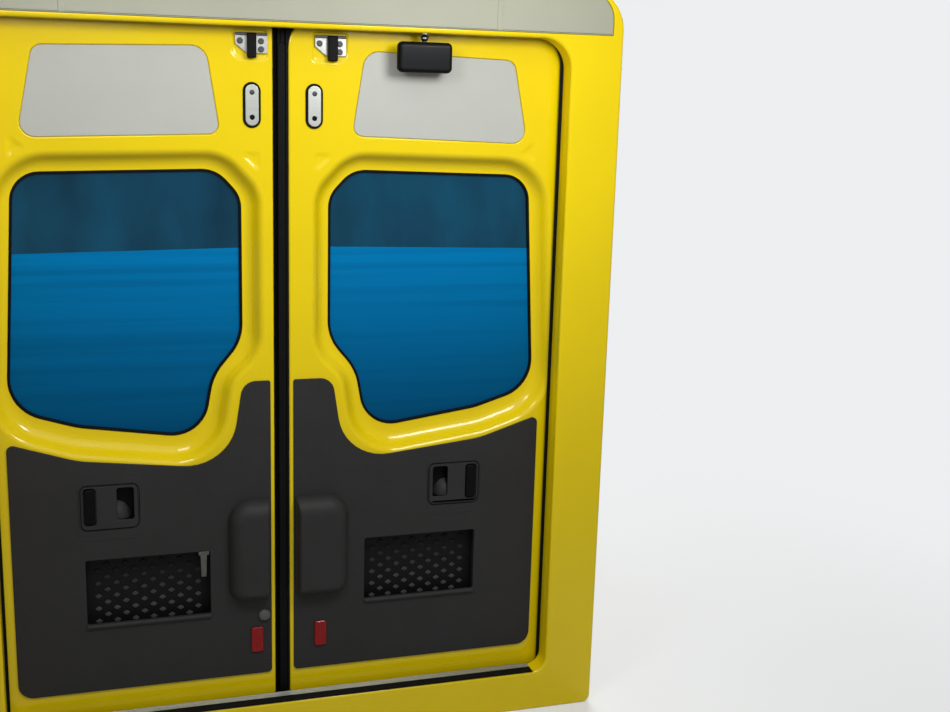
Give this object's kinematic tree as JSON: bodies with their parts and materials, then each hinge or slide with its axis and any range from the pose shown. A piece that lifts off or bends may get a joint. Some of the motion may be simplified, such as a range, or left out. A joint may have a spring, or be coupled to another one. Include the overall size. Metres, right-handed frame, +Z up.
{
  "type": "ambulance rear doors in their frame",
  "caption": "Rear doorway of a high-roof ambulance van: body frame with a pair of glazed, trimmed doors hinged at the outer posts.",
  "frame": {"origin": "middle of the frame's forward mounting face, at load-floor height", "axes": "+X to the right for someone inside looking rearwards, +Y rearwards out of the van, +Z up"},
  "size_m": [1.8, 0.17, 2.08],
  "materials": {
    "yellow_paint": "gloss signal-yellow paint on pressed steel",
    "grey_cover": "pale grey moulded cover",
    "grey_panel": "pale grey satin blanking panel",
    "dark_trim": "dark grey grained moulding",
    "pocket_mat": "black studded panel",
    "black_rubber": "extruded black rubber",
    "tinted_glass": "toughened glass with blue film over the lower part",
    "zinc_steel": "zinc-plated pressed steel",
    "satin_metal": "satin anodised",
    "black_plastic": "black moulding",
    "red_lens": "red lens"
  },
  "bodies": {
    "frame": {"header": "yellow_paint", "header_cover": "grey_cover", "brake_lamp": "red_lens", "sill": "yellow_paint", "sill_mat": "black_rubber", "threshold_strip": "satin_metal", "aperture_seal": "black_rubber", "strikers": "zinc_steel", "monitor": "black_plastic", "monitor_stem": "black_plastic", "pillar_left": "yellow_paint", "tail_lamp_left": "red_lens", "hinge_brackets_left": "yellow_paint", "pillar_right": "yellow_paint", "tail_lamp_right": "red_lens", "hinge_brackets_right": "yellow_paint"},
    "door_left": {"door_panel_left": "yellow_paint", "door_skin_left": "yellow_paint", "glass_left": "tinted_glass", "glazing_rubber_left": "black_rubber", "blank_panel_left": "grey_panel", "trim_left": "dark_trim", "pocket_grid_left": "pocket_mat", "pull_handle_left": "dark_trim", "reflector_left": "red_lens", "top_latch_left": "zinc_steel", "latch_bolt_left": "black_plastic", "oval_gasket_left": "black_rubber", "oval_plate_left": "satin_metal", "edge_seal_left": "black_rubber", "hinge_leaves_left": "yellow_paint"},
    "door_right": {"door_panel_right": "yellow_paint", "door_skin_right": "yellow_paint", "glass_right": "tinted_glass", "glazing_rubber_right": "black_rubber", "blank_panel_right": "grey_panel", "trim_right": "dark_trim", "pocket_grid_right": "pocket_mat", "pull_handle_right": "dark_trim", "reflector_right": "red_lens", "top_latch_right": "zinc_steel", "latch_bolt_right": "black_plastic", "oval_gasket_right": "black_rubber", "oval_plate_right": "satin_metal", "edge_seal_right": "black_rubber", "hinge_leaves_right": "yellow_paint", "outer_handle": "black_plastic"}
  },
  "joints": [
    {"name": "door_left_swing", "type": "hinge", "parent": "frame", "child": "door_left", "pos_m": [-0.836, 0.144, 0], "axis": [0, 0, 1], "range_deg": [0, 180]},
    {"name": "door_right_swing", "type": "hinge", "parent": "frame", "child": "door_right", "pos_m": [0.836, 0.144, 0], "axis": [0, 0, -1], "range_deg": [0, 180]}
  ]
}
